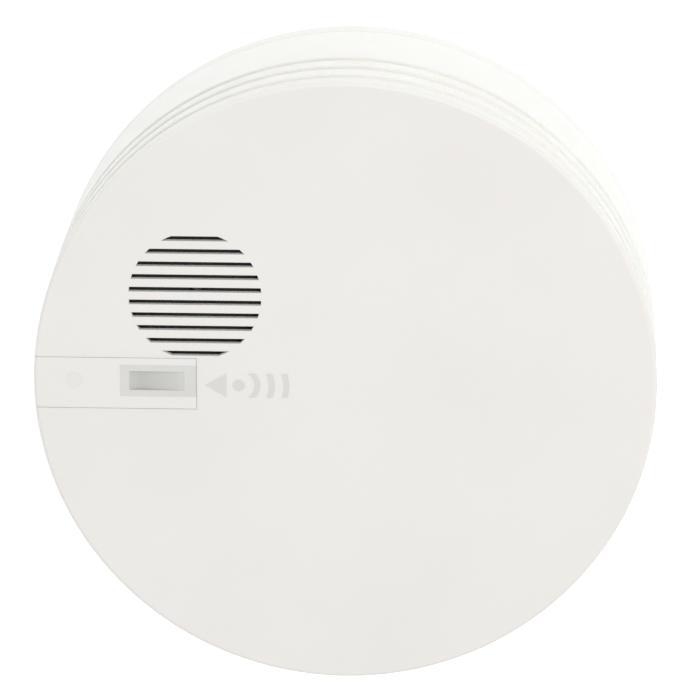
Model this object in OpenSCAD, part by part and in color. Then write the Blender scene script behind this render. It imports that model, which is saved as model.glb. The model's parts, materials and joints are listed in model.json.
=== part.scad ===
// Ceiling smoke alarm: a twist-off head on a bayonet mounting base.
// Frame: back of the base on z = 0, +Z out of the face, the test lever lies along -X.

/* [Body] */
// Outside diameter of the head
body_d = 120; // [118:1:124]
// Height from the back of the base to the face
body_h = 46.5; // [46.5:0.5:49]
// Wall thickness of the cover and the housing
wall = 2.2; // [2:0.1:2.4]
// Radius of the rounded edge of the face
edge_r = 0.8; // [0.5:0.1:1.2]

/* [Smoke gaps] */
// Height of each smoke gap
gap_h = 2.2; // [1.8:0.1:2.4]
// Height of each louvre rib
rib_h = 4.3; // [4:0.1:4.5]
// Number of struts that carry the louvre ribs
struts = 12; // [8:2:12]

/* [Sounder grille] */
// Grille centre along X
grille_x = -28.75; // [-29.5:0.05:-28]
// Grille centre along Y
grille_y = 17.45; // [17.2:0.05:18.5]
// Radius of the circle that the slots end on
grille_r = 12.75; // [11:0.05:13]
// Number of slots
grille_n = 10; // [6:1:10]
// Distance from slot to slot
grille_pitch = 2.55; // [2.4:0.05:2.6]
// Width of one slot
slot_w = 0.95; // [0.8:0.05:1.4]

/* [Test lever] */
// Where the lever's inner end lies along X
lever_end = -28.65; // [-29.5:0.05:-28]
// Width of the lever
lever_w = 10.1; // [9.5:0.1:10.5]
// Gap between the lever and the cover at each side
lever_gap = 0.1; // [0.1:0.02:0.3]
// Gap at the lever's inner end
lever_end_gap = 0.14; // [0.14:0.02:0.4]
// Width of the flange that runs under the lip of the slot
flange_w = 0.4; // [0.3:0.05:0.45]
// Hinge axis along X
hinge_x = -55.6; // [-55.7:0.1:-55.4]
// Hinge pin radius
pin_r = 1; // [0.9:0.05:1.1]
// Running clearance round the hinge pin
pin_fit = 0.05; // [0.03:0.01:0.08]
// Length of the push pad
pad_l = 14.7; // [13:0.1:15]
// Width of the push pad
pad_w = 6.3; // [5.5:0.1:6.6]

/* [Mounting base] */
// Distance between the two screw slots
screw_spacing = 90; // [88:1:92]
// Width of a screw slot
screw_w = 4.4; // [4:0.1:5]
// Length of a screw slot, end to end
screw_l = 9; // [8:0.5:10]
// Radius of the opening in the middle of the base
base_open_r = 36; // [35:0.5:38]
// Thickness of the base plate
base_t = 2.4; // [2:0.1:2.6]

/* [Battery] */
// Battery length without its terminals
bat_l = 46.5; // [45:0.5:47]
// Battery width
bat_w = 26.5; // [26:0.1:26.7]
// Battery thickness
bat_t = 17.5; // [17:0.1:17.6]

/* [Hidden] */

$fn = 96;
e = 0.01;
R = body_d / 2;
face_z = body_h - wall;            // underside of the face
skirt_z = body_h - 4.6;            // lower edge of the cover's skirt
band_z = skirt_z - 3 * gap_h - 2 * rib_h; // upper edge of the housing band
rib1_z = band_z + gap_h;           // lower rib
rib2_z = rib1_z + rib_h + gap_h;   // upper rib
split_z = 5.8;                     // lower edge of the housing band
lever_y = -0.2;
pad_y = 0.3;                       // centre line of the pad
lip = 0.25;                        // thickness of the slot's lip over the lever's flange
grille_t = 1.2;                    // thickness of the face behind the slots
hinge_z = body_h - 3.3;
led_x = -52.3;
led_y = 0.3;
key_x = -43;                       // where the lever meets the switch
board_z = 26;
board_t = 1.6;
board_top = board_z + board_t;
cham_x = 18;
cham_y = -6;
cham_r = 21.5;
horn_r = 14.5;
cap_z = face_z - 4.4;              // underside of the sounder cap
floor_z = 8;
floor_t = 1.8;
box_l = 56;                        // battery compartment, inside
box_w = 27.5;
box_top = 23.6;
bat_z = 5.7;
bat_x = -27.6;
door_z = 4.5;                      // door hinge axis
door_y = -12.6;
bolt_r = 49;                       // cover screws
bolt_a = [75, 195, 315];
stud_r = 46;                       // board screws
stud_a = [0, 120, 240];
lug_a = [90, 210, 330];            // bayonet

// points on a circular arc, for turned profiles
function arc(cx, cz, r, a0, a1, n) =
  [for (i = [0:n]) let (a = a0 + (a1 - a0) * i / n) [cx + r * cos(a), cz + r * sin(a)]];

module ring(ro, ri, z0, z1) {
  translate([0, 0, z0]) difference() {
    cylinder(h = z1 - z0, r = ro, $fn = 180);
    translate([0, 0, -1]) cylinder(h = z1 - z0 + 2, r = ri, $fn = 180);
  }
}

// part of a ring, from angle a0 to angle a1
module arc_block(ro, ri, z0, z1, a0, a1) {
  rotate([0, 0, a0]) rotate_extrude(angle = a1 - a0, $fn = 180)
    translate([ri, z0]) square([ro - ri, z1 - z0]);
}

module at_polar(r, angles) {
  for (a = angles) translate([r * cos(a), r * sin(a), 0]) children();
}

// box from its two corners
module bx(x0, x1, y0, y1, z0, z1) {
  translate([x0, y0, z0]) cube([x1 - x0, y1 - y0, z1 - z0]);
}

// solid of the cover's outer form: face, rounded edge and skirt
module cover_shell() {
  rotate_extrude($fn = 240) polygon(concat(
    [[0, face_z], [R - wall, face_z], [R - wall, skirt_z], [R - 0.4, skirt_z]],
    arc(R - 0.4, skirt_z + 0.4, 0.4, -60, 0, 2),
    arc(R - edge_r, body_h - edge_r, edge_r, 0, 90, 10),
    [[0, body_h]]));
}

module lever_cut(grow, end) {
  bx(-R - 5, end, lever_y - lever_w / 2 - grow, lever_y + lever_w / 2 + grow, skirt_z - 5, body_h + 1);
}

// flange round the lever under the face, and the rebate it sits in
module lever_flange(grow, end, z0, z1) {
  bx(-R + wall + 1.2 - grow, end, lever_y - lever_w / 2 - flange_w - grow,
    lever_y + lever_w / 2 + flange_w + grow, z0, z1);
}

// ---- mounting base ----

module screw_slot() {
  hx = (screw_l - screw_w) / 2;
  translate([0, 0, -1]) {
    translate([-hx, 0, 0]) cylinder(h = base_t + 2, r = screw_w / 2, $fn = 48);
    translate([hx, 0, 0]) cylinder(h = base_t + 2, r = screw_w / 2, $fn = 48);
    translate([-hx, -screw_w / 2, 0]) cube([2 * hx, screw_w, base_t + 2]);
  }
}

module mounting_base() {
  color("white") {
    difference() {
      rotate_extrude($fn = 240) polygon(concat(
        [[base_open_r, 0]],
        arc(R - 1.2, 0.8, 0.8, -90, 0, 4),
        [[R - 0.4, 5], [R - 0.7, 5.4], [R - 2.6, 5.4], [R - 2.6, base_t],
         [base_open_r + 1.6, base_t], [base_open_r + 1.6, base_t + 0.7], [base_open_r, base_t + 0.7]]));
      for (s = [-1, 1]) translate([s * screw_spacing / 2, 0, 0]) screw_slot();
    }
    // bayonet hooks, each with its end stop, and the stops that end the twist
    for (a = lug_a) {
      arc_block(52.5, 50.4, base_t - e, 6.4, a - 7.6, a + 7);
      arc_block(50.5, 47.5, 4.9, 6.4, a - 7.6, a + 7);
      arc_block(50.5, 46.9, base_t - e, 6.4, a - 7.6, a - 6.4);
      arc_block(49.8, 46.9, base_t - e, 5, a + 21.4, a + 22.6);
    }
    // stiffening webs outside the hooks
    for (a = lug_a) arc_block(R - 2.5, 52.4, base_t - e, 4.4, a - 1, a + 1);
  }
}

// ---- head ----

module rear_housing() {
  color("white") difference() {
    union() {
      // band and floor
      rotate_extrude($fn = 240) polygon(concat(
        [[R - wall, split_z], [R - 0.9, split_z]],
        arc(R - 0.7, split_z + 0.5, 0.5, -90, 0, 3),
        arc(R - 0.5, band_z - 0.5, 0.5, 0, 90, 3),
        [[R - wall, band_z]]));
      difference() {
        ring(R - wall + 0.1, 1, floor_z, floor_z + floor_t);
        bx(-box_l / 2 - 1, box_l / 2 + 1, -box_w / 2 - 1, box_w / 2 + 1, floor_z - 1, floor_z + 5);
      }
      // battery compartment, open to the back
      difference() {
        bx(-box_l / 2 - 1.5, box_l / 2 + 1.5, -box_w / 2 - 1.5, box_w / 2 + 1.5, 3.4, box_top + 1.2);
        bx(-box_l / 2, box_l / 2, -box_w / 2, box_w / 2, 3, box_top);
        // notch for the door's thumb tab
        bx(-6, 6, box_w / 2 - 1, box_w / 2 + 2, 3, 5.4);
        // door hinge sockets
        translate([-box_l / 2 - 2, door_y, door_z]) rotate([0, 90, 0]) cylinder(h = box_l + 4, r = 0.76, $fn = 32);
        // battery lead holes
        for (s = [-1, 1]) translate([box_l / 2 - 1, s * 3, bat_z + bat_t / 2])
          rotate([0, 90, 0]) cylinder(h = 3, r = 1.2, $fn = 32);
      }
      // stops that hold the battery down the compartment
      bx(-box_l / 2, -box_l / 2 + 0.3, -8, 8, 10, 20);
      // columns for the cover screws and the board screws
      at_polar(bolt_r, bolt_a) translate([0, 0, floor_z + 0.5]) cylinder(h = board_top + 0.3 - floor_z - 0.5, r = 4, $fn = 48);
      at_polar(stud_r, stud_a) translate([0, 0, floor_z + 0.5]) cylinder(h = board_z - floor_z - 0.5, r = 3.2, $fn = 48);
      // bayonet lugs
      for (a = lug_a) {
        arc_block(46.5, 44.5, 2.9, floor_z + 0.3, a - 6, a + 6);
        arc_block(49.8, 46.4, 2.9, 4.5, a - 6, a + 6);
      }
      // floor ribs
      for (a = [20, 50, 135, 160, 225, 255, 285, 345])
        rotate([0, 0, a]) bx(35, R - wall + 0.1, -0.6, 0.6, floor_z + 1, floor_z + 5);
    }
    at_polar(bolt_r, bolt_a) {
      translate([0, 0, floor_z - 1]) cylinder(h = 13, r = 2.9, $fn = 48);
      translate([0, 0, floor_z]) cylinder(h = 25, r = 1.6, $fn = 48);
    }
    at_polar(stud_r, stud_a) translate([0, 0, 14]) cylinder(h = 20, r = 1.1, $fn = 48);
  }
}

module vent_rib(z) {
  rotate_extrude($fn = 240) polygon([[57.2, z + 0.7], [59.4, z], [R - 0.2, z + 0.15], [R, z + 0.6],
    [R, z + rib_h - 0.6], [R - 0.2, z + rib_h - 0.15], [59.4, z + rib_h], [57.2, z + rib_h - 0.2]]);
}

module vent_ring() {
  color("white") difference() {
    union() {
      vent_rib(rib1_z);
      vent_rib(rib2_z);
      // inner baffles, one behind each gap
      ring(55.6, 54.4, band_z - 1.7, rib1_z + 1.1);
      ring(55.6, 54.4, rib1_z + rib_h - 0.9, rib2_z + 1);
      ring(55.6, 54.4, rib2_z + rib_h - 1.1, skirt_z + 1.3);
      // seat inside the housing band
      ring(R - wall - 0.1, 54.4, band_z - 4, band_z - 1.6);
      for (i = [0:struts - 1]) rotate([0, 0, 15 + i * 360 / struts]) {
        bx(54.6, R - wall - 0.2, -0.8, 0.8, band_z - 2, skirt_z);
        bx(55, R - 1.5, -0.8, 0.8, band_z, skirt_z);
      }
    }
    // room for the lever hinge
    bx(-R, -50, -9, 9, rib2_z + rib_h + 0.3, body_h);
  }
}

module grille_slots() {
  translate([grille_x, grille_y, face_z - 1]) intersection() {
    cylinder(h = wall + 2, r = grille_r);
    union() for (i = [0:grille_n - 1])
      translate([-20, (i - (grille_n - 1) / 2) * grille_pitch - slot_w / 2, 0]) cube([40, slot_w, wall + 2]);
  }
}

// pictogram beside the pad: a pointer towards the pad, a dot and three sound waves
module symbol_2d() {
  translate([-0.15, -0.4]) {
    polygon([[-26.7, 0], [-22.7, 2.4], [-22.7, -2.4]]);
    translate([-20.3, 0]) circle(r = 1.15, $fn = 48);
    for (r = [3.9, 6.7, 9.5]) intersection() {
      translate([-20.1, 0]) difference() { circle(r = r, $fn = 96); circle(r = r - 1.05, $fn = 96); }
      translate([-19.5, -2.4]) square([12, 4.8]);
    }
  }
}

module front_cover() {
  color("white") difference() {
    union() {
      cover_shell();
      // hinge ears
      for (s = [-1, 1]) {
        y0 = lever_y + s * (lever_w / 2 + 0.3);
        bx(hinge_x - 1.9, hinge_x + 1.9, min(y0, y0 + s * 2.4), max(y0, y0 + s * 2.4), hinge_z, face_z + 0.5);
        translate([hinge_x, y0, hinge_z]) rotate([s * -90, 0, 0]) cylinder(h = 2.4, r = 1.9, $fn = 48);
      }
      // posts for the cover screws
      at_polar(bolt_r, bolt_a) translate([0, 0, board_top + 0.5]) cylinder(h = face_z - board_top, r = 3.4, $fn = 48);
      // wall that centres the sounder
      translate([grille_x, grille_y, 0]) ring(horn_r + 1.3, horn_r + 0.2, cap_z + 0.2, face_z + 0.3);
    }
    lever_cut(lever_gap, lever_end + lever_end_gap);
    lever_flange(0.2, lever_end + flange_w + 0.3, skirt_z - 5, body_h - lip);
    grille_slots();
    // thinner face behind the slots
    translate([grille_x, grille_y, face_z - 1]) cylinder(h = wall + 1 - grille_t, r = 13.4);
    translate([0, 0, body_h - 0.25]) linear_extrude(1) symbol_2d();
    // pin holes
    translate([hinge_x, lever_y - 8.2, hinge_z]) rotate([-90, 0, 0]) cylinder(h = 16.4, r = pin_r + pin_fit, $fn = 48);
    at_polar(bolt_r, bolt_a) translate([0, 0, board_top]) cylinder(h = 10, r = 1.2, $fn = 48);
  }
}

module press_symbol() {
  color("lightgray") translate([0, 0, body_h - 0.25]) linear_extrude(0.25) symbol_2d();
}

// ---- test lever ----

module test_lever() {
  color("white") difference() {
    union() {
      intersection() {
        cover_shell();
        lever_cut(0, lever_end);
      }
      lever_flange(0, lever_end + flange_w, face_z + 0.1, body_h - lip - 0.1);
      // hinge barrel
      translate([hinge_x, lever_y - lever_w / 2, hinge_z]) rotate([-90, 0, 0]) cylinder(h = lever_w, r = 1.9, $fn = 48);
      bx(hinge_x - 1.9, hinge_x + 1.9, lever_y - lever_w / 2, lever_y + lever_w / 2, hinge_z, face_z + 0.5);
      // stiffening ribs and the seat under the pad
      for (s = [-1, 1]) bx(hinge_x + 1, lever_end - 0.6, lever_y + s * 3.9 - 0.6, lever_y + s * 3.9 + 0.6, face_z - 1.6, face_z + 0.3);
      bx(lever_end - pad_l - 1, lever_end - 0.6, lever_y - 4, lever_y + 4, face_z - 0.9, face_z + 0.3);
      // post that works the switch
      translate([key_x, 0, 32.5]) cylinder(h = face_z - 32.3, r = 2.4, $fn = 48);
      for (a = [0, 90]) translate([key_x, 0, 0]) rotate([0, 0, a]) bx(-3.4, 3.4, -0.6, 0.6, 34.5, face_z + 0.2);
    }
    // pocket for the pad, open at the inner end
    bx(lever_end - pad_l, lever_end, pad_y - pad_w / 2, pad_y + pad_w / 2, body_h - 1.7, body_h + 1);
    // hole for the light guide
    translate([led_x, led_y, hinge_z - 5]) cylinder(h = 20, r = 1.55, $fn = 48);
    translate([hinge_x, lever_y - lever_w, hinge_z]) rotate([-90, 0, 0]) cylinder(h = 2 * lever_w, r = pin_r, $fn = 48);
  }
}

module lever_hinge_pin() {
  color("silver") translate([hinge_x, lever_y - 7.6, hinge_z]) rotate([-90, 0, 0]) cylinder(h = 15.2, r = pin_r, $fn = 48);
}

module test_pad() {
  color("lightgray") difference() {
    bx(lever_end - pad_l, lever_end, pad_y - pad_w / 2, pad_y + pad_w / 2, body_h - 1.7, body_h - 0.06);
    // scoop: deepest at the hinge side, running out towards the inner end
    translate([0, pad_y + 1.9, 0]) rotate([90, 0, 0]) linear_extrude(3.8) polygon([
      [lever_end - pad_l + 1.5, body_h + 0.2], [lever_end - pad_l + 2.1, body_h - 0.5],
      [lever_end - pad_l + 2.7, body_h - 0.95], [lever_end - pad_l + 3.4, body_h - 1.2],
      [lever_end - pad_l + 4.4, body_h - 1.15], [lever_end - 4, body_h - 0.42],
      [lever_end - 2.6, body_h - 0.22], [lever_end - 1.6, body_h + 0.2]]);
  }
}

module status_light_guide() {
  color("whitesmoke") translate([led_x, led_y, 37]) cylinder(h = body_h - 37, r = 1.55, $fn = 48);
}

// ---- electronics ----

module status_led() {
  color("red") translate([led_x, led_y, 0]) {
    translate([0, 0, board_top]) cylinder(h = 1, r = 1.6, $fn = 48);
    translate([0, 0, board_top]) cylinder(h = 3.6, r = 1.5, $fn = 48);
    translate([0, 0, board_top + 3.6]) sphere(r = 1.5, $fn = 48);
  }
}

module circuit_board() {
  color("darkgreen") difference() {
    union() {
      translate([0, 0, board_z]) cylinder(h = board_t, r = 52, $fn = 180);
      bx(-53.9, -48, -4, 4, board_z, board_top);
    }
    at_polar(bolt_r, bolt_a) translate([0, 0, board_z - 1]) cylinder(h = 5, r = 4.4, $fn = 48);
    at_polar(stud_r, stud_a) translate([0, 0, board_z - 1]) cylinder(h = 5, r = 1.6, $fn = 48);
  }
}

module controller_chip() {
  color("dimgray") {
    bx(-12, 7, 25.4, 30.6, board_top + 0.8, board_top + 4);
    for (i = [0:7]) for (s = [-1, 1])
      bx(-11.2 + i * 2.5, -10.5 + i * 2.5, 28 + s * 2.9 - 0.4, 28 + s * 2.9 + 0.4, board_top, board_top + 2.2);
  }
}

module capacitors() {
  color("darkslategray") {
    translate([18, 31, board_top]) cylinder(h = 11, r = 4, $fn = 48);
    translate([28, 27, board_top]) cylinder(h = 9, r = 3.2, $fn = 48);
    translate([-22, -24, board_top]) cylinder(h = 7, r = 2.6, $fn = 48);
  }
}

module sounder_coil() {
  color("peru") translate([-10, -33, board_top]) {
    cylinder(h = 1.2, r = 5.4, $fn = 48);
    cylinder(h = 9, r = 3.8, $fn = 48);
    translate([0, 0, 7.8]) cylinder(h = 1.2, r = 5.4, $fn = 48);
  }
}

module resistors() {
  color("tan") for (i = [0:5]) translate([-36 + i * 3.4, -12, board_top + 1.3]) {
    rotate([-90, 0, 0]) cylinder(h = 6, r = 1.1, $fn = 32);
    translate([0, -2, 0]) rotate([-90, 0, 0]) cylinder(h = 10, r = 0.3, $fn = 16);
    for (y = [-2, 8]) translate([0, y, -1.3]) cylinder(h = 1.6, r = 0.3, $fn = 16);
  }
}

module holder(a) {
  rotate([0, 0, a]) bx(10.5, 19.2, -3.6, 3.6, board_top + 1, 37.8);
}

module holder_bore(a) {
  translate([0, 0, 34]) rotate([0, 0, a]) rotate([0, 90, 0]) translate([0, 0, 9]) cylinder(h = 12, r = 2.6, $fn = 48);
}

module chamber_base() {
  color("black") translate([cham_x, cham_y, 0]) difference() {
    union() {
      translate([0, 0, board_top]) cylinder(h = 1.7, r = cham_r, $fn = 96);
      holder(200);
      holder(335);
      // labyrinth vanes that let smoke in and keep light out
      for (i = [0:17]) if (i != 8 && i != 9 && i != 7 && i != 15 && i != 14 && i != 16)
        rotate([0, 0, i * 20 + 50]) translate([17.3, 0, 0]) {
          rotate([0, 0, 40]) bx(-2.4, 2.4, -0.4, 0.4, board_top + 1, 40);
          rotate([0, 0, -40]) bx(-2.4, 0.6, -0.4 + 1.2, 0.4 + 1.2, board_top + 1, 40);
        }
    }
    holder_bore(200);
    holder_bore(335);
  }
}

module chamber_cap() {
  color("black") translate([cham_x, cham_y, 0]) {
    translate([0, 0, 40.2]) cylinder(h = 1.6, r = cham_r, $fn = 96);
    ring(20.7, 20, 38.4, 40.3);
  }
}

module insect_screen() {
  color("silver") translate([cham_x, cham_y, 0]) difference() {
    ring(21.35, 21, board_top + 1.7, 40.2);
    for (i = [0:17]) rotate([0, 0, i * 10]) bx(-30, 30, -1.2, 1.2, board_top + 2.8, 39);
  }
}

module diode(a) {
  translate([cham_x, cham_y, 34]) rotate([0, 0, a]) {
    rotate([0, 90, 0]) translate([0, 0, 12]) cylinder(h = 6, r = 2.5, $fn = 48);
    translate([12, 0, 0]) sphere(r = 2.5, $fn = 48);
    for (y = [-1.27, 1.27]) {
      translate([17.5, y, 0]) rotate([0, 90, 0]) cylinder(h = 2.2, r = 0.28, $fn = 16);
      translate([19.7, y, 0]) sphere(r = 0.28, $fn = 16);
      translate([19.7, y, board_top + 1.7 - 34]) cylinder(h = 34 - board_top - 1.7, r = 0.28, $fn = 16);
    }
  }
}

module infrared_emitter() { color("midnightblue") diode(200); }
module photodiode() { color("black") diode(335); }

// where the two leads pass through the sounder's floor
lead_xy = [[7, -3], [6, -6.5]];

module sounder_body() {
  color("black") translate([grille_x, grille_y, 0]) difference() {
    union() {
      ring(horn_r, horn_r - 1.3, board_top, cap_z);
      ring(horn_r - 1.2, 11.2, 35, 36);
      ring(horn_r - 1.2, 3, board_top, board_top + 1.4);
    }
    for (p = lead_xy) translate([p[0], p[1], board_top - 1]) cylinder(h = 4, r = 0.7, $fn = 24);
  }
}

module piezo_disc() { color("goldenrod") translate([grille_x, grille_y, 36]) cylinder(h = 0.3, r = 13); }
module piezo_ceramic() { color("white") translate([grille_x, grille_y, 36.3]) cylinder(h = 0.25, r = 10); }

module sounder_cap() {
  color("black") translate([grille_x, grille_y, 0]) {
    ring(horn_r, 1.5, cap_z, cap_z + 1.2);
    ring(2.9, 1.5, cap_z - 2.4, cap_z + 0.2);
  }
}

// foam ring between the sounder and the cover, trimmed flat beside the lever
module sounder_gasket() {
  color("dimgray") difference() {
    translate([grille_x, grille_y, 0]) ring(horn_r, 13, cap_z + 1.2, face_z);
    bx(grille_x - 20, grille_x + 20, -20, lever_y + lever_w / 2 + flange_w + 0.4, cap_z, body_h);
  }
}

module sounder_leads() {
  color("crimson") for (p = lead_xy)
    translate([grille_x + p[0], grille_y + p[1], board_top]) cylinder(h = 36 - board_top, r = 0.5, $fn = 24);
}

module switch_body() {
  color("dimgray") difference() {
    bx(key_x - 3, key_x + 3, -3, 3, board_top, board_top + 3.5);
    translate([key_x, 0, board_top + 1]) cylinder(h = 5, r = 1.85, $fn = 48);
  }
}

module switch_plunger() {
  color("black") translate([key_x, 0, board_top + 1.8]) cylinder(h = 32.4 - board_top - 1.8, r = 1.75, $fn = 48);
}

// ---- battery ----

// steel jacket, open at both ends
module battery_jacket() {
  color("darkslategray") difference() {
    bx(bat_x, bat_x + bat_l, -bat_w / 2, bat_w / 2, bat_z, bat_z + bat_t);
    bx(bat_x - 1, bat_x + bat_l + 1, -bat_w / 2 + 0.4, bat_w / 2 - 0.4, bat_z + 0.4, bat_z + bat_t - 0.4);
  }
}

// six cells in two layers of three
module battery_cells() {
  cell = (bat_t - 0.9) / 4;
  color("silver") for (j = [-1, 0, 1]) for (k = [-1, 1])
    translate([bat_x + 1.8, j * 2 * cell, bat_z + bat_t / 2 + k * cell]) rotate([0, 90, 0])
      cylinder(h = bat_l - 3.6, r = cell - 0.05, $fn = 48);
}

module battery_end_plates() {
  color("black") for (x = [bat_x + 0.1, bat_x + bat_l - 1.6])
    bx(x, x + 1.5, -bat_w / 2 + 0.45, bat_w / 2 - 0.45, bat_z + 0.45, bat_z + bat_t - 0.45);
}

module battery_terminals() {
  color("silver") translate([bat_x + bat_l - 0.1, 0, bat_z + bat_t / 2]) rotate([0, 90, 0]) {
    translate([0, -6.35, 0]) cylinder(h = 2.1, r = 2.9, $fn = 48);
    translate([0, 6.35, 0]) cylinder(h = 2.1, r = 3.8, $fn = 48);
  }
}

module battery_snap() {
  color("black") difference() {
    bx(bat_x + bat_l + 0.4, bat_x + bat_l + 5.4, -12.5, 12.5, bat_z + bat_t / 2 - 6.2, bat_z + bat_t / 2 + 6.2);
    for (s = [-1, 1]) translate([bat_x + bat_l, s * 6.35, bat_z + bat_t / 2]) rotate([0, 90, 0]) cylinder(h = 2.6, r = 4.1, $fn = 48);
  }
}

module lead(s) {
  x0 = bat_x + bat_l + 5.4;
  translate([x0, s * 3, bat_z + bat_t / 2]) {
    rotate([0, 90, 0]) cylinder(h = 32 - x0, r = 0.65, $fn = 24);
    translate([32 - x0, 0, 0]) sphere(r = 0.65, $fn = 24);
    translate([32 - x0, 0, 0]) cylinder(h = board_z - bat_z - bat_t / 2, r = 0.65, $fn = 24);
  }
}

module battery_lead_red() { color("red") lead(1); }
module battery_lead_black() { color("black") lead(-1); }

module battery_door() {
  color("white") {
    difference() {
      bx(-box_l / 2 + 0.35, box_l / 2 - 0.35, door_y, box_w / 2 - 0.35, door_z - 0.8, door_z + 0.8);
      // shallow finger grooves on the outside
      for (i = [0:3]) bx(-7, 7, 6 + i * 1.8, 6.7 + i * 1.8, door_z - 1.2, door_z - 0.4);
    }
    bx(-5.6, 5.6, box_w / 2 - 0.6, box_w / 2 + 1.9, door_z - 0.8, door_z + 0.4);
    translate([-box_l / 2 + 0.35, door_y, door_z]) rotate([0, 90, 0]) cylinder(h = box_l - 0.7, r = 0.8, $fn = 32);
    translate([-box_l / 2 - 1.3, door_y, door_z]) rotate([0, 90, 0]) cylinder(h = box_l + 2.6, r = 0.7, $fn = 32);
  }
}

// ---- fasteners ----

module board_screws() {
  color("silver") at_polar(stud_r, stud_a) difference() {
    union() {
      translate([0, 0, board_top]) cylinder(h = 1.7, r = 2.6, $fn = 48);
      translate([0, 0, board_top - 9]) cylinder(h = 9.2, r = 1.1, $fn = 32);
    }
    for (a = [0, 90]) rotate([0, 0, a]) bx(-1.5, 1.5, -0.3, 0.3, board_top + 0.8, board_top + 3);
  }
}

module cover_screws() {
  color("silver") at_polar(bolt_r, bolt_a) difference() {
    union() {
      translate([0, 0, floor_z + 10]) cylinder(h = 2, r = 2.7, $fn = 48);
      translate([0, 0, floor_z + 11]) cylinder(h = 16, r = 1.2, $fn = 32);
    }
    for (a = [0, 90]) rotate([0, 0, a]) bx(-1.6, 1.6, -0.35, 0.35, floor_z + 9, floor_z + 11);
  }
}

mounting_base();
rear_housing();
vent_ring();
front_cover();
press_symbol();
test_lever();
lever_hinge_pin();
test_pad();
status_light_guide();
status_led();
circuit_board();
controller_chip();
capacitors();
sounder_coil();
resistors();
chamber_base();
chamber_cap();
insect_screen();
infrared_emitter();
photodiode();
sounder_body();
sounder_cap();
piezo_disc();
piezo_ceramic();
sounder_gasket();
sounder_leads();
switch_body();
switch_plunger();
battery_jacket();
battery_cells();
battery_end_plates();
battery_terminals();
battery_snap();
battery_lead_red();
battery_lead_black();
battery_door();
board_screws();
cover_screws();
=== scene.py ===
import bpy, bmesh, math, json
from mathutils import Vector, Matrix


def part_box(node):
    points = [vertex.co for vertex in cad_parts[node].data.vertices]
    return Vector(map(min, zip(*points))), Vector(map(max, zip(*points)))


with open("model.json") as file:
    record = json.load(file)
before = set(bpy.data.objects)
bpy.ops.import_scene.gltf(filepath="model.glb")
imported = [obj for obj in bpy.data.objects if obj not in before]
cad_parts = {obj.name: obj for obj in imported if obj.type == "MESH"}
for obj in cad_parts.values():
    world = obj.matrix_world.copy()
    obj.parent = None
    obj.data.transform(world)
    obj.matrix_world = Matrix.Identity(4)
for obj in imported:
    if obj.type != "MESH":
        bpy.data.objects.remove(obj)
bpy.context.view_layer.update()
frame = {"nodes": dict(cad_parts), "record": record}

N = frame["nodes"]
MM = 0.001

# ------------------------------------------------------------------ materials


def _mat(name):
    m = bpy.data.materials.new(name)
    m.use_nodes = True
    nt = m.node_tree
    nt.nodes.clear()
    out = nt.nodes.new("ShaderNodeOutputMaterial")
    b = nt.nodes.new("ShaderNodeBsdfPrincipled")
    nt.links.new(b.outputs[0], out.inputs[0])
    return m, nt, b


def _noise(nt, vec, scale, detail=3.0, rough=0.55):
    n = nt.nodes.new("ShaderNodeTexNoise")
    n.inputs["Scale"].default_value = scale
    n.inputs["Detail"].default_value = detail
    n.inputs["Roughness"].default_value = rough
    nt.links.new(vec, n.inputs["Vector"])
    return n.outputs["Fac"]


def _range(nt, fac, a, b, lo=0.3, hi=0.7):
    r = nt.nodes.new("ShaderNodeMapRange")
    r.inputs["From Min"].default_value = lo
    r.inputs["From Max"].default_value = hi
    r.inputs["To Min"].default_value = a
    r.inputs["To Max"].default_value = b
    nt.links.new(fac, r.inputs["Value"])
    return r.outputs["Result"]


def _mix(nt, fac, c0, c1):
    m = nt.nodes.new("ShaderNodeMix")
    m.data_type = "RGBA"
    m.inputs["A"].default_value = (*c0, 1)
    m.inputs["B"].default_value = (*c1, 1)
    nt.links.new(fac, m.inputs["Factor"])
    return m.outputs["Result"]


def _bump(nt, b, heights, strength, distance):
    bump = nt.nodes.new("ShaderNodeBump")
    bump.inputs["Strength"].default_value = strength
    bump.inputs["Distance"].default_value = distance
    if len(heights) == 1:
        h = heights[0]
    else:
        add = nt.nodes.new("ShaderNodeMath")
        add.operation = "ADD"
        nt.links.new(heights[0], add.inputs[0])
        nt.links.new(heights[1], add.inputs[1])
        h = add.outputs[0]
    nt.links.new(h, bump.inputs["Height"])
    nt.links.new(bump.outputs[0], b.inputs["Normal"])
    return bump


def moulded(name, c0, c1, rough=(0.38, 0.5), grain=2600.0, grain_mm=0.012, strength=0.35, spec=0.5, sss=0.0, sss_scale=0.0006):
    """moulded plastic: fine spark-eroded grain, faint flow variation in colour and gloss"""
    m, nt, b = _mat(name)
    tc = nt.nodes.new("ShaderNodeTexCoord").outputs["Object"]
    big = _noise(nt, tc, 28.0, 2.0)
    nt.links.new(_mix(nt, _range(nt, big, 0, 1, 0.35, 0.65), c0, c1), b.inputs["Base Color"])
    mid = _noise(nt, tc, 160.0, 3.0)
    nt.links.new(_range(nt, mid, rough[0], rough[1]), b.inputs["Roughness"])
    fine = _noise(nt, tc, grain, 2.0)
    _bump(nt, b, [fine], strength, grain_mm * MM)
    b.inputs["IOR"].default_value = 1.5
    b.inputs["Specular IOR Level"].default_value = spec
    if sss:
        b.inputs["Subsurface Weight"].default_value = sss
        b.inputs["Subsurface Radius"].default_value = (1.0, 0.8, 0.6)
        b.inputs["Subsurface Scale"].default_value = sss_scale
    return m


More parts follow.
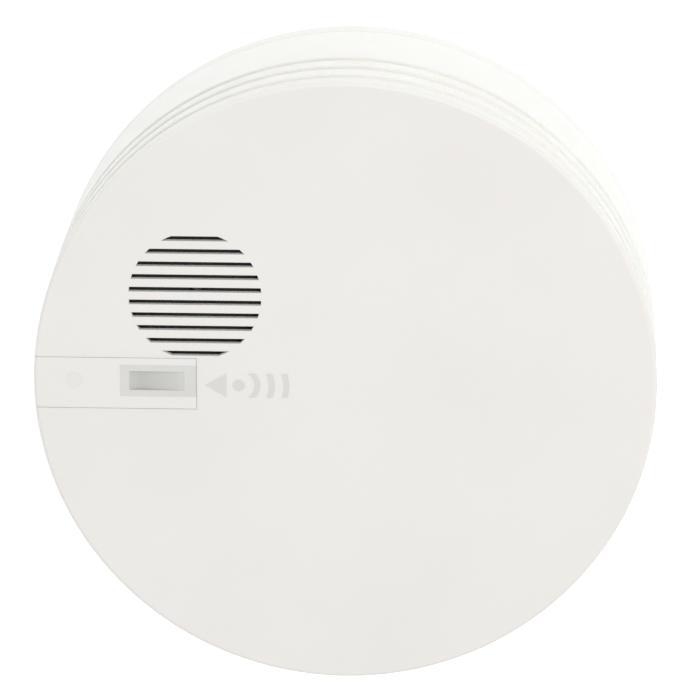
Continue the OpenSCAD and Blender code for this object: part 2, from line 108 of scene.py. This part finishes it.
def metal(name, c0, c1, rough=(0.22, 0.4), streak=900.0, strength=0.25):
    m, nt, b = _mat(name)
    tc = nt.nodes.new("ShaderNodeTexCoord").outputs["Object"]
    mp = nt.nodes.new("ShaderNodeMapping")
    mp.inputs["Scale"].default_value = (1.0, 12.0, 1.0)
    nt.links.new(tc, mp.inputs["Vector"])
    s = _noise(nt, mp.outputs[0], streak, 3.0)
    nt.links.new(_mix(nt, _range(nt, s, 0, 1), c0, c1), b.inputs["Base Color"])
    nt.links.new(_range(nt, s, rough[0], rough[1]), b.inputs["Roughness"])
    _bump(nt, b, [s], strength, 0.01 * MM)
    b.inputs["Metallic"].default_value = 1.0
    return m


def board(name):
    """solder mask with copper tracks under it and small solder joints"""
    m, nt, b = _mat(name)
    tc = nt.nodes.new("ShaderNodeTexCoord").outputs["Object"]
    br = nt.nodes.new("ShaderNodeTexBrick")
    br.inputs["Scale"].default_value = 190.0
    br.inputs["Mortar Size"].default_value = 0.035
    br.inputs["Color1"].default_value = (0.02, 0.13, 0.05, 1)
    br.inputs["Color2"].default_value = (0.024, 0.16, 0.06, 1)
    br.inputs["Mortar"].default_value = (0.05, 0.26, 0.1, 1)
    nt.links.new(tc, br.inputs["Vector"])
    nt.links.new(br.outputs["Color"], b.inputs["Base Color"])
    w = _noise(nt, tc, 2200.0, 2.0)
    nt.links.new(_range(nt, w, 0.25, 0.42), b.inputs["Roughness"])
    _bump(nt, b, [w, br.outputs["Fac"]], 0.3, 0.02 * MM)
    return m


def pad_grey(name):
    """soft grey pad whose scooped recess is painted a darker grey the deeper it goes: the pad's own grey at the top,
    painted shade below it
    """
    m, nt, b = _mat(name)
    tc = nt.nodes.new("ShaderNodeTexCoord").outputs["Object"]
    sep = nt.nodes.new("ShaderNodeSeparateXYZ")
    nt.links.new(tc, sep.inputs[0])
    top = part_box("test_pad")[1].z
    # colour ramp on depth: the pad's own grey at the rim of the scoop, painted shade darkening towards its floor
    ramp = nt.nodes.new("ShaderNodeValToRGB")
    el = ramp.color_ramp.elements
    el[0].position, el[0].color = 0.0, (0.54, 0.54, 0.523, 1)
    el[1].position, el[1].color = 1.0, (0.69, 0.685, 0.665, 1)
    mid = el.new(0.70)
    mid.color = (0.615, 0.61, 0.59, 1)
    nt.links.new(_range(nt, sep.outputs["Z"], 0.0, 1.0, top - 1.15 * MM, top - 0.02 * MM), ramp.inputs[0])
    mix = nt.nodes.new("ShaderNodeMix")
    mix.data_type = "RGBA"
    mix.blend_type = "MULTIPLY"
    mix.inputs["Factor"].default_value = 1.0
    cloud = _noise(nt, tc, 220.0, 3.0)
    nt.links.new(ramp.outputs[0], mix.inputs["A"])
    nt.links.new(_mix(nt, _range(nt, cloud, 0, 1), (1, 1, 1), (0.965, 0.965, 0.965)), mix.inputs["B"])
    nt.links.new(mix.outputs["Result"], b.inputs["Base Color"])
    mid_n = _noise(nt, tc, 400.0, 3.0)
    nt.links.new(_range(nt, mid_n, 0.45, 0.6), b.inputs["Roughness"])
    _bump(nt, b, [_noise(nt, tc, 2600.0, 2.0)], 0.4, 0.012 * MM)
    b.inputs["IOR"].default_value = 1.5
    return m


def _math(nt, op, a, b=None):
    m = nt.nodes.new("ShaderNodeMath")
    m.operation = op
    for i, v in enumerate((a, b)):
        if v is None:
            continue
        if isinstance(v, (int, float)):
            m.inputs[i].default_value = v
        else:
            nt.links.new(v, m.inputs[i])
    return m.outputs[0]


def _over(nt, fac, colour_socket, c):
    m = nt.nodes.new("ShaderNodeMix")
    m.data_type = "RGBA"
    nt.links.new(fac, m.inputs["Factor"])
    nt.links.new(colour_socket, m.inputs["A"])
    m.inputs["B"].default_value = (*c, 1)
    return m.outputs["Result"]


def shell_white(name, c0, c1, ribs, ledge, slot, rough, spec, sss, sss_scale):
    """moulded white shell: a shade lower on the ribs and skirt, which is painted shade; lighter on the faces inside
    the smoke gaps and the lever's slot, which is painted light"""
    m = moulded(name, c0, c1, rough, spec=spec, sss=sss, sss_scale=sss_scale)
    nt = m.node_tree
    b = [n for n in nt.nodes if n.type == "BSDF_PRINCIPLED"][0]
    base = b.inputs["Base Color"].links[0].from_socket
    sep = nt.nodes.new("ShaderNodeSeparateXYZ")
    nt.links.new(nt.nodes.new("ShaderNodeTexCoord").outputs["Object"], sep.inputs[0])
    x, y, z = sep.outputs
    lo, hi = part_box("front_cover")
    top, R = hi.z, hi.x
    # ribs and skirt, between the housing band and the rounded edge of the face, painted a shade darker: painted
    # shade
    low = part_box("vent_ring")[0].z + 3.0 * MM
    rib_shade_mask = _math(nt, "MULTIPLY", _range(nt, z, 0, 1, low, low + 1.5 * MM), _range(nt, z, 1, 0, top - 0.6 * MM, top - 0.12 * MM))
    base = _over(nt, rib_shade_mask, base, ribs)
    # ledges inside the gaps, painted lighter: painted light in the gaps
    rad = _math(nt, "SQRT", _math(nt, "ADD", _math(nt, "MULTIPLY", x, x), _math(nt, "MULTIPLY", y, y)))
    ledge_light_mask = _math(nt, "MULTIPLY", _range(nt, rad, 1, 0, R - 0.75 * MM, R - 0.35 * MM), _range(nt, z, 1, 0, top - 0.6 * MM, top - 0.4 * MM))
    base = _over(nt, ledge_light_mask, base, ledge)
    # faces of the lever's slot, painted lighter: painted light in the slot
    l0, l1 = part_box("test_lever")
    yc, yh = (l0.y + l1.y) / 2, (l1.y - l0.y) / 2
    m1 = _range(nt, x, 0, 1, l0.x + 1.0 * MM, l0.x + 1.1 * MM)
    m2 = _range(nt, x, 1, 0, l1.x + 0.25 * MM, l1.x + 0.3 * MM)
    m3 = _range(nt, _math(nt, "ABSOLUTE", _math(nt, "SUBTRACT", y, yc)), 1, 0, yh + 0.25 * MM, yh + 0.3 * MM)
    m4 = _range(nt, z, 1, 0, top - 0.05 * MM, top - 0.02 * MM)
    slot_light_mask = _math(nt, "MULTIPLY", _math(nt, "MULTIPLY", m1, m2), _math(nt, "MULTIPLY", m3, m4))
    base = _over(nt, slot_light_mask, base, slot)
    nt.links.new(base, b.inputs["Base Color"])
    return m


W0, W1 = (0.829, 0.811, 0.784), (0.813, 0.795, 0.767)
# the rib and skirt colour is painted shade; the ledge and slot-wall colours are painted light
RIBS_PAINTED_SHADE, LEDGE_PAINTED_LIGHT, SLOT_WALL_PAINTED_LIGHT = (0.760, 0.757, 0.725), (0.89, 0.885, 0.86), (0.94, 0.93, 0.91)
MATS = {
    "cover_white": shell_white("cover_white", W0, W1, RIBS_PAINTED_SHADE, LEDGE_PAINTED_LIGHT, SLOT_WALL_PAINTED_LIGHT, (0.42, 0.52), 0.3, 0.3, 0.0006),
    "housing_white": shell_white("housing_white", (0.79, 0.79, 0.762), (0.775, 0.775, 0.747), RIBS_PAINTED_SHADE, LEDGE_PAINTED_LIGHT, SLOT_WALL_PAINTED_LIGHT, (0.42, 0.54), 0.4, 0.7, 0.002),
    "base_white": moulded("base_white", (0.785, 0.785, 0.757), (0.77, 0.77, 0.742), (0.5, 0.62), strength=0.5),
    "pad_grey": pad_grey("pad_grey"),
    "legend_grey": moulded("legend_grey", (0.70, 0.68, 0.665), (0.685, 0.665, 0.65), (0.5, 0.6)),
    "light_guide": moulded("light_guide", (0.80, 0.79, 0.77), (0.78, 0.77, 0.75), (0.12, 0.2), strength=0.1),
    "led_red": moulded("led_red", (0.45, 0.02, 0.015), (0.36, 0.015, 0.01), (0.08, 0.16), strength=0.08),
    "led_clear_blue": moulded("led_clear_blue", (0.05, 0.07, 0.2), (0.04, 0.055, 0.16), (0.08, 0.16), strength=0.08),
    "diode_black": moulded("diode_black", (0.012, 0.008, 0.014), (0.008, 0.006, 0.01), (0.08, 0.16), strength=0.08),
    "board_green": board("board_green"),
    "black_plastic": moulded("black_plastic", (0.034, 0.033, 0.03), (0.028, 0.027, 0.025), (0.55, 0.7)),
    "chip_black": moulded("chip_black", (0.02, 0.02, 0.022), (0.014, 0.014, 0.016), (0.45, 0.6)),
    "capacitor_sleeve": moulded("capacitor_sleeve", (0.012, 0.016, 0.045), (0.01, 0.012, 0.035), (0.2, 0.3)),
    "coil_copper": metal("coil_copper", (0.75, 0.30, 0.12), (0.6, 0.22, 0.08), (0.25, 0.4), 2500.0, 0.6),
    "resistor_body": moulded("resistor_body", (0.55, 0.4, 0.22), (0.48, 0.34, 0.18), (0.25, 0.35)),
    "screen_metal": metal("screen_metal", (0.55, 0.55, 0.55), (0.42, 0.42, 0.42), (0.3, 0.45)),
    "piezo_brass": metal("piezo_brass", (0.82, 0.6, 0.22), (0.7, 0.5, 0.17), (0.22, 0.35)),
    "piezo_ceramic": moulded("piezo_ceramic", (0.72, 0.7, 0.66), (0.66, 0.64, 0.6), (0.3, 0.45)),
    "foam_black": moulded("foam_black", (0.02, 0.02, 0.02), (0.012, 0.012, 0.012), (0.85, 0.95), grain=1500.0, grain_mm=0.1, strength=0.9),
    "lead_red": moulded("lead_red", (0.45, 0.015, 0.012), (0.38, 0.012, 0.01), (0.35, 0.45)),
    "lead_black": moulded("lead_black", (0.012, 0.012, 0.012), (0.009, 0.009, 0.009), (0.35, 0.45)),
    "battery_jacket": moulded("battery_jacket", (0.05, 0.055, 0.065), (0.04, 0.045, 0.055), (0.2, 0.3)),
    "cell_metal": metal("cell_metal", (0.7, 0.7, 0.7), (0.58, 0.58, 0.58)),
    "plated_steel": metal("plated_steel", (0.66, 0.65, 0.62), (0.5, 0.49, 0.47)),
}
SLOT = {r["node"]: r["material_slot"] for r in frame["record"]["subparts"]}
for n, o in N.items():
    mat = MATS[SLOT[n]]
    if not o.data.materials:
        o.data.materials.append(mat)
    for s in o.material_slots:
        s.link = "OBJECT"
        s.material = mat

# ------------------------------------------------------------------ stage

L = 1.109
el, az = math.radians(17.18), math.radians(2.302)
d = Vector((math.sin(az), math.sin(el) * math.cos(az), math.cos(el) * math.cos(az)))
cam_data = bpy.data.cameras.new("camera")
cam = bpy.data.objects.new("camera", cam_data)
bpy.context.scene.collection.objects.link(cam)
up = Vector((0, 1, 0))
up = (up - d * up.dot(d)).normalized()
right = up.cross(d)
cam.matrix_world = Matrix(((right.x, up.x, d.x, d.x * L), (right.y, up.y, d.y, d.y * L), (right.z, up.z, d.z, d.z * L), (0, 0, 0, 1)))
cam_data.sensor_width = 36.0
cam_data.lens = 36.0 * 4.9931 * L * 1000 / 700.0
cam_data.shift_x = -(354.99 - 350.0) / 700.0
cam_data.shift_y = (313.6 - 350.0) / 700.0
cam_data.clip_start, cam_data.clip_end = 0.05, 60.0
bpy.context.scene.camera = cam

# pale floor, open under the object so that its back can be lit and seen from below
floor_me = bpy.data.meshes.new("floor")
bm = bmesh.new()
rings = []
SEG = 128
for rad in (0.0588, 0.075, 0.1, 0.2, 0.6, 2.0, 8.0):
    rings.append([bm.verts.new((rad * math.cos(2 * math.pi * i / SEG), rad * math.sin(2 * math.pi * i / SEG), 0.0)) for i in range(SEG)])
for r0, r1 in zip(rings, rings[1:]):
    for i in range(SEG):
        j = (i + 1) % SEG
        bm.faces.new((r0[i], r1[i], r1[j], r0[j]))
bm.to_mesh(floor_me)
bm.free()
floor = bpy.data.objects.new("floor", floor_me)
bpy.context.scene.collection.objects.link(floor)
fm, fnt, fb = _mat("floor_white")
fb.inputs["Base Color"].default_value = (0.93, 0.93, 0.93, 1)
fb.inputs["Roughness"].default_value = 0.9
fb.inputs["Emission Color"].default_value = (1, 1, 1, 1)
fb.inputs["Emission Strength"].default_value = 0.40
fgeo = fnt.nodes.new("ShaderNodeNewGeometry")
ftr = fnt.nodes.new("ShaderNodeBsdfTransparent")
fmix = fnt.nodes.new("ShaderNodeMixShader")
fout = [n for n in fnt.nodes if n.type == "OUTPUT_MATERIAL"][0]
fnt.links.new(fgeo.outputs["Backfacing"], fmix.inputs[0])
fnt.links.new(fb.outputs[0], fmix.inputs[1])
fnt.links.new(ftr.outputs[0], fmix.inputs[2])
fnt.links.new(fmix.outputs[0], fout.inputs[0])
floor_me.materials.append(fm)

world = bpy.data.worlds.new("world")
bpy.context.scene.world = world
world.use_nodes = True
world.node_tree.nodes["Background"].inputs[0].default_value = (1.0, 1.0, 1.0, 1)
world.node_tree.nodes["Background"].inputs[1].default_value = 0.61


def area(name, loc, target, size, power, colour=(1, 1, 1)):
    ld = bpy.data.lights.new(name, "AREA")
    ld.shape = "SQUARE"
    ld.size = size
    ld.energy = power
    ld.color = colour
    o = bpy.data.objects.new(name, ld)
    bpy.context.scene.collection.objects.link(o)
    o.location = loc
    o.rotation_mode = "QUATERNION"
    o.rotation_quaternion = (Vector(target) - Vector(loc)).to_track_quat("-Z", "Y")
    return o


area("key", (0.33, 0.5, 1.515), (0, 0, 0.035), 0.6, 12.1)

bpy.context.scene.view_settings.view_transform = "Standard"
bpy.context.scene.view_settings.look = "None"
bpy.context.scene.view_settings.exposure = 0.0
